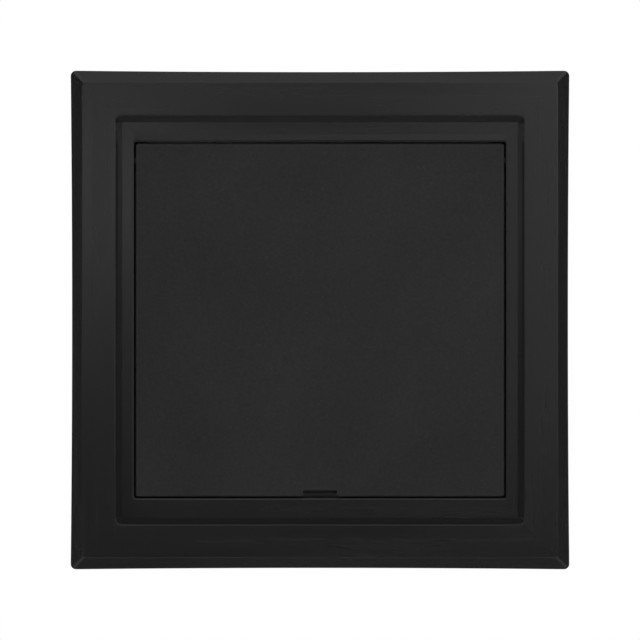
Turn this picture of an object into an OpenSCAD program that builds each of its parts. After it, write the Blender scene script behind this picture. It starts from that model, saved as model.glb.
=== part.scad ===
// Square ceiling access panel: a raised picture frame round a hinged door.
// It is drawn face up on the ceiling plane, x across, y towards the hinge and z out into the room,
// and then stood upright, so that its face looks along -Y and the hinge is at the top.

/* [Frame] */
// Width and height of the square frame
frame_w = 240; // [220:1:320]
// How far each outer edge draws in at its middle
edge_bow = 0.7; // [0:0.1:1]
// Corner radius of the outline
rim_corner_r = 2.5; // [1:0.1:5]
// Height of the straight edge that lies on the ceiling
rim_h = 1.5; // [1:0.1:2.5]
// Width of the sloping border
bevel_w = 6; // [4:0.1:9]
// Width of the flat flange
flange_w = 15.7; // [11:0.1:22]
// How far the flange stands off the ceiling
flange_h = 6.5; // [6:0.1:8.5]
// Corner radius where the sloping border meets the flange
flange_corner_r = 1.5; // [0.5:0.1:4]
// Rounding of the edge between the sloping border and the flange
flange_edge_r = 0.8; // [0.2:0.1:1.5]
// Wall thickness of the frame moulding
wall = 2.2; // [1.6:0.1:2.8]

/* [Recess] */
// Width of the steep step from the flange down to the recess floor
step_w = 3.1; // [2:0.1:5]
// Depth of the recess floor below the flange
step_d = 5.5; // [4:0.1:6.5]
// Rounding of the step's outer edge
step_edge_r = 0.7; // [0.3:0.1:1.4]
// Corner radius at the foot of the step
foot_corner_r = 0.4; // [0.2:0.1:2]
// Width of the recess floor beside the door
floor_side_w = 5.7; // [4.5:0.1:9]
// Width of the recess floor above and below the door
floor_end_w = 9.45; // [6:0.05:14]
// Rounding of the floor's edge round the door
lip_r = 0.9; // [0.3:0.1:1.5]
// Corner radius of the door opening
opening_corner_r = 1; // [0.5:0.1:3]
// Width of the floor's slight rise towards the opening along the hinge
rise_w = 3.6; // [2:0.1:6]
// Height of that rise
rise_h = 0.15; // [0.05:0.05:0.4]

/* [Collar and ledge] */
// How far the collar reaches into the cut-out behind the ceiling plane
collar_depth = 10; // [8:0.5:11]
// Thickness of the collar
collar_t = 2; // [1.5:0.1:3]
// Distance of the collar's outer face from the recess's edge
collar_out = 2.7; // [2.2:0.1:4]
// Corner radius of the collar
collar_corner_r = 6; // [4:0.1:8]
// Gap between the collar and the cut-out in the ceiling board
cutout_gap = 1.5; // [0.5:0.1:3]
// Thickness of the skirt round the door
skirt_t = 2; // [1.5:0.1:3]
// Width of the ledge that the door closes on
ledge_w = 7; // [5.5:0.1:10]
// Thickness of the ledge
ledge_t = 2; // [1.5:0.1:2.5]
// Thickness of the webs and gussets
web_t = 1.6; // [1:0.1:2.5]

/* [Door] */
// Gap between the door and its opening
door_gap = 0.75; // [0.7:0.05:1.5]
// Thickness of the door's face
door_skin = 2.4; // [1.8:0.1:3]
// Depth of the door with its rim
door_depth = 6; // [5.6:0.1:8]
// Thickness of the door's rim
door_rim_t = 2; // [1.5:0.1:3]
// Rounding of the door's front edge
door_edge_r = 0.6; // [0.2:0.1:1]
// Corner radius of the door
door_corner_r = 1.2; // [1:0.1:2.5]
// Width of the finger notch in the door's lower edge
notch_w = 16.3; // [12:0.1:24]
// Height of the finger notch
notch_h = 3; // [2.2:0.1:4]
// Corner radius of the finger notch
notch_corner_r = 0.5; // [0.2:0.1:1]
// Rounding of the finger notch's mouth
notch_mouth_r = 0.8; // [0.3:0.1:1.2]
// Height of the ribs behind the door's face
door_rib_h = 2; // [1:0.1:3]
// Number of ribs each way behind the door's face
door_rib_n = 3; // [1:1:5]

/* [Hinge] */
// Diameter of the hinge pins
pin_d = 3; // [2.5:0.1:3.4]
// Distance of the hinge pins below the door's upper edge
pin_inset = 8; // [7:0.1:11]
// Distance of the hinge pins behind the door's face
pin_behind = 3.4; // [3.2:0.1:3.6]
// Length of each pin inside the door
pin_reach = 6.6; // [4:0.1:10]
// Diameter of the bosses round the pins
hinge_boss_d = 6.4; // [5.6:0.1:6.6]
// Length of the frame's boss, from the opening outwards
hinge_boss_l = 5; // [3:0.1:5]
// Diameter of the pins' heads
pin_head_d = 4.2; // [3.6:0.1:4.4]
// Thickness of the pins' heads
pin_head_t = 1.2; // [0.8:0.1:1.6]
// How far the hood behind the hinge laps over the door's upper edge
hood_lap = 3.2; // [2:0.1:4]
// Thickness of the hood
hood_t = 1.5; // [1:0.1:2]

/* [Seal] */
// Width of the foam strip
seal_w = 2.8; // [2:0.1:3]
// Thickness of the foam strip when the door is closed
seal_t = 1; // [0.8:0.1:2]
// Gap between the foam strip and the skirt
seal_gap = 0.2; // [0.1:0.1:0.4]

/* [Magnetic catches] */
// Distance of each catch from the opening's side
catch_inset = 39.5; // [34:0.5:52]
// Height of the catches above the opening's lower edge
catch_up = 11.5; // [11:0.1:16]
// Length of the magnet and its pole plates
magnet_l = 18; // [14:0.5:20]
// Height of the magnet between its pole plates
magnet_t = 4; // [3:0.1:5]
// Depth of the magnet
magnet_d = 7; // [5:0.1:9]
// Thickness of a pole plate
pole_t = 1.2; // [0.8:0.1:1.5]
// How far the pole plates stand out of the catch case
pole_out = 0.35; // [0.2:0.05:0.5]
// Side wall of the catch case
case_t = 1.1; // [0.8:0.1:1.5]
// Thickness of the catch case's flange
case_flange_t = 1.2; // [1:0.1:1.4]
// Length of each screw ear on the catch case's flange
case_ear_l = 5.6; // [5.2:0.1:7]
// Length of the strike plate on the door
strike_l = 24; // [20:0.5:28]
// Height of the strike plate
strike_h = 10; // [8:0.1:11]
// Thickness of the strike plate
strike_t = 1; // [0.8:0.1:1.2]
// Shank diameter of the small screws
small_screw_d = 2.2; // [1.8:0.1:2.6]
// Length of the screws that hold a catch case
case_screw_l = 6; // [5:0.1:7]
// Thickness of the door's face left over the strike plates' screws
screw_cover = 1; // [0.6:0.1:1.4]

/* [Clamps] */
// Distance of the upper clamps below the opening's upper edge
upper_clamp_inset = 30.5; // [26:0.5:36]
// Distance of the lower clamps above the opening's lower edge
lower_clamp_inset = 50.5; // [46:0.5:60]
// Distance of the clamp screws from the opening's side
clamp_inset = 7.5; // [7.5:0.1:9]
// Diameter of the clamp screws
clamp_screw_d = 4; // [3:0.1:4.5]
// Diameter of the clamp screws' heads
clamp_head_d = 7.5; // [6.5:0.1:7.6]
// Height of the clamp screws' heads
clamp_head_h = 2.6; // [2:0.1:2.8]
// Thickness of the lug that carries each clamp
clamp_lug_t = 5; // [4.6:0.1:5]
// Wall of the lug round the screw's head
clamp_lug_wall = 1.4; // [1:0.1:2]
// Thickest board that the clamps hold
board_max = 27; // [20:0.5:35]
// How far each dog reaches over the board
dog_bite = 7.5; // [5:0.1:10]
// Width of the dog's arm
dog_w = 9; // [7:0.1:10.5]
// Depth of the dog at its boss
dog_h = 8; // [7:0.1:11]
// Depth of the dog's arm at its tip
dog_tip_h = 4; // [3:0.1:5]
// Thickness of the dog's web and of the ribs round it
dog_rib_t = 1.7; // [1.2:0.1:2]
// Thickness of the nut in the dog
nut_t = 3.2; // [2.4:0.1:3.4]
// Width of the nut across its flats
nut_w = 7; // [6:0.1:7.2]
// Thickness of the retaining clip
clip_t = 0.8; // [0.6:0.1:1]
// Length of screw past the dog
screw_spare = 4; // [2:0.5:8]

/* [Fits] */
// Running clearance round pins and screws, on the radius
run_gap = 0.05; // [0.02:0.01:0.1]
// Clearance of pieces pushed into a seat, on each side
seat_gap = 0.02; // [0.01:0.01:0.05]
// Loose clearance round screw heads, nuts and cases, on each side
loose_gap = 0.1; // [0.05:0.05:0.3]

/* [Hidden] */
$fn = 64;
// Steps round the corners of the border's blended shapes
hull_fn = 24;

// Spare length of a cutting shape past the face that it cuts
past = 1;
// Overlap that joins two shapes of one piece
join = 0.2;
// Straight steps in the arc of a rounded edge
arc_steps = 6;
// Straight steps along each drawn-in outer edge
bow_steps = 12;
// Space between the ledge's ends and the hinge bosses, and from the door's swing to the hood
hinge_clear = 2;
hood_clear = 0.5;
// Thickness of the door's boss past the end of each pin, and the gap at that end
pin_boss_floor = 1.5;
pin_end_gap = 0.5;
// Depth of the magnets and of the clamp screws' heads below the ledge
magnet_sunk = 0.5;
head_sunk = 0.4;
// Margin of the catch tabs round the cases, of the cases' flanges and of the pads round the strike plates
tab_margin = 2;
flange_margin = 1;
pad_margin = 1;
// Wall round the small screws, solid end past their tips, and flare of their heads
small_boss_t = 1.3;
boss_floor = 1;
small_head_flare = 1;
// Share of a screw head's width and height that its cross slot takes
slot_share = 0.6;
// Inset of the clips' edge on the lugs, wall of the dogs round the nuts, and depth of the nuts in them
clip_inset = 1;
dog_boss_wall = 1.45;
nut_sunk = 0.2;
// Relief of the dogs' front behind their teeth, and depth of the teeth
dog_relief = 1.2;
dog_tooth = 0.8;

// Heights along the panel's axis, with the ceiling plane at zero and the room above it
floor_z = flange_h - step_d;
band_back_z = floor_z - wall;
skin_back_z = floor_z - door_skin;
door_back_z = floor_z - door_depth;
ledge_z = door_back_z - seal_t;
ledge_back_z = ledge_z - ledge_t;
lug_back_z = ledge_z - clamp_lug_t;

// Half sizes, measured out from the panel's middle
flange_half = frame_w / 2 - bevel_w;
recess_half = flange_half - flange_w;
floor_half = recess_half - step_w;
recess_corner_r = foot_corner_r + step_w;
collar_half = recess_half + collar_out;
opening_half_x = floor_half - floor_side_w;
opening_half_y = floor_half - floor_end_w;
door_half_x = opening_half_x - door_gap;
door_half_y = opening_half_y - door_gap;

// Pitch of the webs and gussets along each side
web_pitch = collar_half * 2 / 5;

// Hinge axis
pin_y = door_half_y - pin_inset;
pin_z = floor_z - pin_behind;
ledge_top_y = pin_y - hinge_boss_d / 2 - hinge_clear;
swing_r = norm([pin_inset, max(pin_behind, door_depth - pin_behind)]);
hood_z = pin_z - swing_r - hood_clear;

// Slope of the border, as a rise over its width and as an angle
slope = (flange_h - rim_h) / bevel_w;
slope_a = atan(slope);

// Catches: the strike plate lies on a pad behind the door's face and meets the pole plates
catch_x = opening_half_x - catch_inset;
catch_y = catch_up - opening_half_y;
case_front_z = ledge_z + case_flange_t;
pole_front_z = case_front_z + pole_out;
strike_z = pole_front_z + strike_t;
magnet_stack = magnet_t + 2 * pole_t;
magnet_front_z = ledge_z - magnet_sunk;
magnet_back_z = magnet_front_z - magnet_d;
case_l = magnet_l + 2 * (case_t + loose_gap);
case_h = magnet_stack + 2 * (case_t + loose_gap);
case_back_z = magnet_back_z - loose_gap - case_t;
case_ear_x = case_l / 2 + case_ear_l / 2;
catch_tab_l = case_l + 2 * (case_ear_l + tab_margin);
catch_tab_h = case_h / 2 + 2 * tab_margin;
small_boss_d = small_screw_d + 2 * small_boss_t;
small_head_d = small_screw_d + 2 * small_head_flare;
small_head_h = small_head_flare;
small_boss_z = case_front_z - case_screw_l - boss_floor;
strike_screw_l = floor_z - screw_cover - pole_front_z;

// Clamps
clamp_x = opening_half_x - clamp_inset;
clamp_up = opening_half_y - upper_clamp_inset;
clamp_low = lower_clamp_inset - opening_half_y;
clamp_bore_d = clamp_screw_d + 2 * run_gap;
clamp_sink_d = clamp_head_d + 6 * loose_gap;
clamp_lug_d = clamp_sink_d + 2 * clamp_lug_wall;
head_seat_z = ledge_z - clamp_head_h - head_sunk;
clip_z = lug_back_z - loose_gap;
clip_d = clamp_lug_d - 2 * clip_inset;
dog_z = -board_max;
dog_boss_d = nut_w / cos(30) + 2 * dog_boss_wall;
dog_arm_l = collar_half + cutout_gap - clamp_x + dog_bite;
dog_back_z = dog_z - dog_h;
nut_seat_z = dog_back_z + nut_t + nut_sunk;
screw_tip_z = dog_back_z - screw_spare;

// Points of an arc about a centre, from one angle to another
function arc(centre, r, from, to) =
  [for (i = [0 : arc_steps])
    let (a = from + (to - from) * i / arc_steps) centre + r * [cos(a), sin(a)]];

// A point turned about the middle by quarter turns
function quarter_turned(p, turns) =
  [p.x * cos(90 * turns) - p.y * sin(90 * turns), p.x * sin(90 * turns) + p.y * cos(90 * turns)];

// One side of the outline: the drawn-in edge, then the round corner that follows it
function outline_side() =
  let (half = frame_w / 2, run = half - rim_corner_r)
  concat(
    [for (i = [0 : bow_steps - 1])
      let (t = 2 * i / bow_steps - 1) [half - edge_bow * (1 - t * t), run * t]],
    arc([run, run], rim_corner_r, 0, 90)
  );

// Stands the panel upright, facing along -Y
module upright() {
  rotate([90, 0, 0]) children();
}

module rounded_square(w, h, r) {
  square([w - 2 * r, h], center = true);
  square([w, h - 2 * r], center = true);
  for (x = [-1, 1], y = [-1, 1])
    translate([x * (w / 2 - r), y * (h / 2 - r)]) circle(r);
}

module prism(w, h, r, bottom, top) {
  translate([0, 0, bottom]) linear_extrude(top - bottom) rounded_square(w, h, r);
}

// A block between two heights whose edge follows a section all the way round.
// The section's x runs outwards from the corners' centres, and its y is the height.
module edged_block(w, h, corner_r, bottom, top) {
  translate([0, 0, (bottom + top) / 2])
    cube([w - 2 * corner_r, h - 2 * corner_r, top - bottom], center = true);
  for (turn = [0 : 3]) {
    across = turn % 2 == 0 ? w : h;
    along = turn % 2 == 0 ? h : w;
    rotate(90 * turn) translate([across / 2 - corner_r, along / 2 - corner_r, 0]) {
      rotate([90, 0, 0]) linear_extrude(along - 2 * corner_r) children();
      rotate_extrude(angle = 90) children();
    }
  }
}

// The four sides in turn, each with its outward direction along x
module each_side() {
  for (turn = [0 : 3]) rotate(90 * turn) children();
}

// The raised border as a full plate: straight rim, slope and rounded edge, inside the drawn-in outline
module bezel_plate() {
  spare = 0.3;
  intersection() {
    hull() {
      linear_extrude(rim_h - slope * spare)
        rounded_square(frame_w + 2 * spare, frame_w + 2 * spare, rim_corner_r, $fn = hull_fn);
      for (i = [0 : 3]) {
        a = slope_a * i / 3;
        half = flange_half - flange_edge_r * (tan(slope_a / 2) - sin(a));
        linear_extrude(flange_h - flange_edge_r * (1 - cos(a)))
          rounded_square(2 * half, 2 * half, flange_corner_r, $fn = hull_fn);
      }
    }
    linear_extrude(flange_h + past)
      polygon([for (turn = [0 : 3]) for (p = outline_side()) quarter_turned(p, turn)]);
  }
}

// The hollow behind the border and flange, outside the collar
module back_hollow() {
  rim_half = frame_w / 2 - edge_bow - wall;
  slope_half = frame_w / 2 - wall / sin(slope_a);
  top = flange_h - wall;
  top_half = slope_half - (top - rim_h) / slope;
  knee = max(join, rim_h + slope * (slope_half - rim_half));
  difference() {
    hull() {
      prism(2 * rim_half, 2 * rim_half, rim_corner_r, -past, knee, $fn = hull_fn);
      prism(2 * top_half, 2 * top_half, flange_corner_r, -past, top, $fn = hull_fn);
    }
    prism(2 * collar_half, 2 * collar_half, collar_corner_r, -2 * past, flange_h);
  }
}

// The recess in the flange: a flat floor inside a steep step with a rounded outer edge
module recess() {
  step_a = atan(step_d / step_w);
  edge = [recess_corner_r + step_edge_r * tan(step_a / 2), flange_h - step_edge_r];
  edged_block(2 * recess_half, 2 * recess_half, recess_corner_r, floor_z, flange_h + past)
    polygon(concat(
      arc(edge, step_edge_r, 90, 90 + step_a),
      [[foot_corner_r, floor_z], [0, floor_z], [0, flange_h + past], [edge.x, flange_h + past]]
    ));
}

// The door opening, with a rounded lip at the recess floor
module opening() {
  bottom = -collar_depth - past;
  top = floor_z + past / 2;
  edge = [opening_corner_r + lip_r, floor_z - lip_r];
  edged_block(2 * opening_half_x, 2 * opening_half_y, opening_corner_r, bottom, top)
    polygon(concat(
      arc(edge, lip_r, 90, 180),
      [[opening_corner_r, bottom], [0, bottom], [0, top], [edge.x, top]]
    ));
}

// Slight rise of the recess floor towards the opening along the hinge
module hinge_side_rise() {
  near = opening_half_y + lip_r;
  far = opening_half_y + rise_w;
  rotate([90, 0, 90]) linear_extrude(2 * opening_half_x, center = true)
    polygon([[far, floor_z - join], [far, floor_z], [near, floor_z + rise_h], [near, floor_z - join]]);
}

// Collar that passes through the cut-out, skirt round the door, and the webs between them
module collar_and_skirt() {
  difference() {
    prism(2 * collar_half, 2 * collar_half, collar_corner_r, -collar_depth, floor_z);
    inner = collar_half - collar_t;
    prism(2 * inner, 2 * inner, collar_corner_r - collar_t, -collar_depth - past, band_back_z);
  }
  skirt_x = opening_half_x + skirt_t;
  skirt_y = opening_half_y + skirt_t;
  prism(2 * skirt_x, 2 * skirt_y, opening_corner_r + skirt_t, ledge_back_z, floor_z - lip_r);
  each_side() for (i = [-1.5 : 1.5])
    translate([opening_half_y, i * web_pitch - web_t / 2, ledge_back_z])
      cube([collar_half - opening_half_y - join, web_t, band_back_z - ledge_back_z + join]);
}

// Gussets behind the flange, which stop short of the ceiling
module flange_gussets() {
  foot = 0.5;
  each_side() for (i = [-2 : 2])
    translate([collar_half - join, i * web_pitch - web_t / 2, foot])
      cube([flange_half - collar_half, web_t, flange_h - wall - foot + join]);
}

// Ledge on three sides that the door closes on, with a tab for each catch
module ledge() {
  low = -opening_half_y - join;
  left = -opening_half_x - join;
  for (x = [left, opening_half_x - ledge_w])
    translate([x, low, ledge_back_z]) cube([ledge_w + join, ledge_top_y - low, ledge_t]);
  translate([left, low, ledge_back_z]) cube([-2 * left, ledge_w + join, ledge_t]);
  for (side = [-1, 1]) {
    translate([side * catch_x - catch_tab_l / 2, -opening_half_y, ledge_back_z])
      cube([catch_tab_l, catch_up + catch_tab_h, ledge_t]);
    catch_screw_places(side) translate([0, 0, small_boss_z])
      cylinder(d = small_boss_d, h = ledge_z - small_boss_z);
  }
}

// Hood behind the hinge, clear of the door's swing, that closes the gap round the door's upper edge
module hinge_hood() {
  skirt_x = opening_half_x + skirt_t;
  low = ledge_top_y - hinge_clear;
  high = opening_half_y + skirt_t;
  back = hood_z - hood_t;
  difference() {
    translate([-skirt_x, low, back]) cube([2 * skirt_x, high - low, ledge_back_z + join - back]);
    translate([-opening_half_x, low - past, hood_z])
      cube([2 * opening_half_x, opening_half_y - low + past, ledge_back_z - hood_z + past]);
    translate([ledge_w - opening_half_x, low - past, back - past])
      cube([2 * (opening_half_x - ledge_w), opening_half_y - hood_lap - low + past, hood_t + 2 * past]);
  }
}

module catch_screw_places(side) {
  for (x = [-1, 1]) translate([side * catch_x + x * case_ear_x, catch_y, 0]) children();
}

module clamp_place(side, y) {
  translate([side * clamp_x, y, 0]) children();
}

module every_clamp() {
  for (side = [-1, 1], y = [clamp_up, clamp_low]) clamp_place(side, y) children();
}

// Lugs that carry the clamp screws, each joined to the skirt beside it
module clamp_lugs() {
  every_clamp() translate([0, 0, lug_back_z]) cylinder(d = clamp_lug_d, h = clamp_lug_t);
  for (side = [-1, 1], y = [clamp_up, clamp_low])
    translate([side * (clamp_x + clamp_inset / 2 + skirt_t / 4), y, lug_back_z + clamp_lug_t / 2])
      cube([clamp_inset + skirt_t / 2, clamp_lug_d, clamp_lug_t], center = true);
}

module frame() {
  color("#2a2a2b") upright() difference() {
    union() {
      difference() {
        union() {
          difference() {
            bezel_plate();
            back_hollow();
          }
          flange_gussets();
          collar_and_skirt();
          for (side = [-1, 1]) frame_hinge_boss(side);
        }
        recess();
        opening();
      }
      hinge_side_rise();
      ledge();
      hinge_hood();
      clamp_lugs();
    }
    for (side = [-1, 1]) {
      hinge_bore(side);
      translate([side * catch_x, catch_y, ledge_back_z + ledge_t / 2])
        cube([case_l + 2 * loose_gap, case_h + 2 * loose_gap, ledge_t + 2 * past], center = true);
      catch_screw_places(side) translate([0, 0, small_boss_z - past])
        cylinder(d = small_screw_d + 2 * seat_gap, h = ledge_z - small_boss_z + 2 * past);
    }
    every_clamp() {
      translate([0, 0, lug_back_z - past]) cylinder(d = clamp_bore_d, h = clamp_lug_t + 2 * past);
      translate([0, 0, head_seat_z]) cylinder(d = clamp_sink_d, h = ledge_z - head_seat_z + past);
    }
  }
}

// A cylinder along x from one distance out to another, on the hinge axis
module on_hinge_axis(side, d, inner, outer) {
  translate([side * inner, pin_y, pin_z]) rotate([0, side * 90, 0]) cylinder(d = d, h = outer - inner);
}

module frame_hinge_boss(side) {
  on_hinge_axis(side, hinge_boss_d, opening_half_x, opening_half_x + hinge_boss_l);
}

// Bore for the pin through the skirt, and the wider way from the collar that it is put in by
module hinge_bore(side) {
  on_hinge_axis(side, pin_d + 2 * seat_gap, opening_half_x - past, opening_half_x + hinge_boss_l + past);
  on_hinge_axis(side, pin_head_d + 2 * loose_gap, opening_half_x + hinge_boss_l, collar_half + past);
}

module hinge_pin(side) {
  head = opening_half_x + hinge_boss_l;
  color("silver") upright() {
    on_hinge_axis(side, pin_d, door_half_x - pin_reach, head + join);
    on_hinge_axis(side, pin_head_d, head, head + pin_head_t);
  }
}

module door() {
  w = 2 * door_half_x;
  h = 2 * door_half_y;
  edge = [door_corner_r - door_edge_r, floor_z - door_edge_r];
  pin_end_x = door_half_x - pin_reach - pin_end_gap;
  screw_end_z = floor_z - screw_cover + loose_gap;
  color("#2b2b2b") upright() difference() {
    union() {
      difference() {
        edged_block(w, h, door_corner_r, door_back_z, floor_z)
          polygon(concat(
            [[0, door_back_z], [door_corner_r, door_back_z]],
            arc(edge, door_edge_r, 0, 90),
            [[0, floor_z]]
          ));
        prism(w - 2 * door_rim_t, h - 2 * door_rim_t, door_corner_r, door_back_z - past, skin_back_z);
      }
      door_ribs();
      for (side = [-1, 1]) {
        on_hinge_axis(side, hinge_boss_d, pin_end_x - pin_boss_floor, door_half_x);
        strike_pad(side);
      }
    }
    for (side = [-1, 1]) {
      on_hinge_axis(side, pin_d + 2 * run_gap, pin_end_x, door_half_x + past);
      translate([side * catch_x, catch_y, strike_z - past])
        cylinder(d = small_screw_d + 2 * seat_gap, h = screw_end_z - strike_z + past);
    }
    finger_notch();
  }
}

// Crossing ribs behind the door's face
module door_ribs() {
  for (i = [1 : door_rib_n]) {
    place = 2 * i / (door_rib_n + 1) - 1;
    translate([place * door_half_x, 0, skin_back_z - door_rib_h / 2 + join / 2])
      cube([web_t, 2 * (door_half_y - door_rim_t + join), door_rib_h + join], center = true);
    translate([0, place * door_half_y, skin_back_z - door_rib_h / 2 + join / 2])
      cube([2 * (door_half_x - door_rim_t + join), web_t, door_rib_h + join], center = true);
  }
}

// Pad behind the door's face that a strike plate lies on
module strike_pad(side) {
  w = strike_l + 2 * pad_margin;
  h = strike_h + 2 * pad_margin;
  translate([side * catch_x - w / 2, catch_y - h / 2, strike_z]) cube([w, h, skin_back_z + join - strike_z]);
}

module finger_notch() {
  low = -door_half_y - past;
  high = -door_half_y + notch_h;
  translate([0, 0, door_back_z - past]) linear_extrude(door_depth + 2 * past) {
    translate([0, (low + high) / 2]) rounded_square(notch_w, high - low, notch_corner_r);
    for (side = [-1, 1]) difference() {
      translate([side * notch_w / 2, -door_half_y]) square(2 * notch_mouth_r, center = true);
      translate([side * (notch_w / 2 + notch_mouth_r), notch_mouth_r - door_half_y]) circle(notch_mouth_r);
    }
  }
}

module door_seal() {
  outer = opening_half_x - seal_gap;
  low = -opening_half_y + seal_gap;
  color("#1c1c1c") upright() translate([0, 0, ledge_z]) linear_extrude(seal_t) difference() {
    intersection() {
      rounded_square(2 * outer, -2 * low, opening_corner_r);
      translate([-outer, low]) square([2 * outer, ledge_top_y - low]);
    }
    translate([-outer + seal_w, low + seal_w]) square([2 * (outer - seal_w), ledge_top_y - low]);
  }
}

module at_catch(side) {
  upright() translate([side * catch_x, catch_y, 0]) children();
}

module catch_case(side) {
  flange_l = case_l + 2 * case_ear_l;
  case_corner_r = 0.6;
  ear_corner_r = 2;
  color("#181818") at_catch(side) difference() {
    union() {
      prism(case_l, case_h, case_corner_r, case_back_z, case_front_z);
      prism(flange_l, case_h + 2 * flange_margin, ear_corner_r, ledge_z, case_front_z);
    }
    translate([0, 0, (magnet_back_z - loose_gap + case_front_z + past) / 2])
      cube([
        magnet_l + 2 * loose_gap, magnet_stack + 2 * seat_gap,
        case_front_z + past - magnet_back_z + loose_gap
      ], center = true);
    for (x = [-1, 1]) translate([x * case_ear_x, 0, 0]) screw_sink(case_front_z, case_screw_l);
  }
}

// Countersunk hole for a small screw below a face
module screw_sink(top, length) {
  translate([0, 0, top - length]) cylinder(d = small_screw_d + 2 * loose_gap, h = length + past);
  translate([0, 0, top - small_head_h])
    cylinder(d1 = small_screw_d + 2 * loose_gap, d2 = small_head_d + 2 * loose_gap, h = small_head_h);
  translate([0, 0, top - join / 10]) cylinder(d = small_head_d + 2 * loose_gap, h = past);
}

// Countersunk screw whose flat head is level with a face
module small_screw(top, length) {
  difference() {
    union() {
      translate([0, 0, top - length]) cylinder(d = small_screw_d, h = length - small_head_h + join);
      translate([0, 0, top - small_head_h])
        cylinder(d1 = small_screw_d, d2 = small_head_d, h = small_head_h);
    }
    cross_slot(small_head_d * slot_share, top, small_head_h * slot_share);
  }
}

// Cross slot in a screw's head
module cross_slot(size, top, depth) {
  for (turn = [0, 90]) rotate(turn)
    translate([0, 0, top + past / 2 - depth / 2]) cube([size, size / 4, depth + past], center = true);
}

module catch_magnet(side) {
  color("#3a3a3c") at_catch(side) translate([0, 0, (magnet_front_z + magnet_back_z) / 2])
    cube([magnet_l, magnet_t, magnet_d], center = true);
}

module pole_plates(side) {
  color("silver") at_catch(side) for (y = [-1, 1])
    translate([0, y * (magnet_t + pole_t) / 2, (pole_front_z + magnet_back_z) / 2])
      cube([magnet_l, pole_t, pole_front_z - magnet_back_z], center = true);
}

module catch_screws(side) {
  color("silver") upright() catch_screw_places(side) small_screw(case_front_z, case_screw_l);
}

module strike_plate(side) {
  corner_r = 1;
  color("silver") at_catch(side) difference() {
    prism(strike_l, strike_h, corner_r, pole_front_z, strike_z);
    rotate([180, 0, 0]) screw_sink(-pole_front_z, strike_screw_l);
  }
}

module strike_screw(side) {
  color("silver") at_catch(side) rotate([180, 0, 0]) small_screw(-pole_front_z, strike_screw_l);
}

// Pan-head screw that turns in its lug
module clamp_screw(side, y) {
  top = head_seat_z + loose_gap / 2 + clamp_head_h;
  tip = clamp_screw_d / 5;
  color("silver") upright() clamp_place(side, y) difference() {
    union() {
      translate([0, 0, screw_tip_z]) cylinder(d1 = clamp_screw_d - 2 * tip, d2 = clamp_screw_d, h = tip);
      translate([0, 0, screw_tip_z + tip])
        cylinder(d = clamp_screw_d, h = top - clamp_head_h - screw_tip_z - tip + join);
      translate([0, 0, top - clamp_head_h]) cylinder(d = clamp_head_d, h = clamp_head_h - tip);
      translate([0, 0, top - tip]) cylinder(d1 = clamp_head_d, d2 = clamp_head_d - 2 * tip, h = tip);
    }
    cross_slot(clamp_head_d * slot_share, top, clamp_head_h * slot_share);
  }
}

// Push-on clip that keeps the screw in its lug
module clamp_clip(side, y) {
  color("silver") upright() clamp_place(side, y) translate([0, 0, clip_z - clip_t]) difference() {
    cylinder(d = clip_d, h = clip_t);
    translate([0, 0, -past]) cylinder(d = clamp_screw_d + 2 * seat_gap, h = clip_t + 2 * past);
  }
}

// Dog with a toothed tip, hanging from its screw
module clamp_dog(side, y) {
  color("#1a1a1a") upright() clamp_place(side, y) difference() {
    union() {
      translate([0, 0, dog_back_z]) cylinder(d = dog_boss_d, h = dog_h - dog_relief);
      rotate([90, 0, -90]) translate([0, 0, -dog_w / 2]) linear_extrude(dog_w) polygon(dog_side());
    }
    for (face = [0, 1]) mirror([face, 0, 0]) rotate([90, 0, -90])
      translate([0, 0, dog_rib_t / 2]) linear_extrude(dog_w) polygon(dog_pocket());
    translate([0, 0, dog_back_z - past]) cylinder(d = clamp_bore_d, h = dog_h + 2 * past);
    translate([0, 0, dog_back_z - past])
      cylinder(d = (nut_w + 2 * loose_gap) / cos(30), h = nut_seat_z - dog_back_z + past, $fn = 6);
  }
}

// Side view of the dog's arm, with its length along x and its depth along y
function dog_side() =
  let (bite = dog_bite + cutout_gap, teeth = 4, pitch = bite / teeth, start = dog_arm_l - bite)
  concat(
    [[0, dog_back_z], [0, dog_z - dog_relief], [start - dog_relief, dog_z - dog_relief]],
    [for (i = [0 : teeth - 1]) each [
      [start + i * pitch, dog_z - dog_tooth], [start + (i + 0.5) * pitch, dog_z]
    ]],
    [[dog_arm_l, dog_z - dog_tooth], [dog_arm_l, dog_z - dog_tip_h], [dog_boss_d / 2, dog_back_z]]
  );

// Pocket in each side of the arm, which leaves a web with a rib round it
function dog_pocket() =
  let (
    near = dog_boss_d / 2 + dog_rib_t,
    far = dog_arm_l - dog_bite - cutout_gap - dog_relief,
    fall = (dog_h - dog_tip_h) / (dog_arm_l - dog_boss_d / 2),
    front = dog_z - dog_relief - dog_rib_t,
    back = dog_back_z + dog_rib_t
  )
  [
    [near, front], [far, front],
    [far, back + fall * (far - dog_boss_d / 2)], [near, back + fall * dog_rib_t]
  ];

module clamp_nut(side, y) {
  color("silver") upright() clamp_place(side, y) translate([0, 0, nut_seat_z - nut_t]) difference() {
    cylinder(d = nut_w / cos(30), h = nut_t, $fn = 6);
    translate([0, 0, -past]) cylinder(d = clamp_bore_d, h = nut_t + 2 * past);
  }
}

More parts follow.
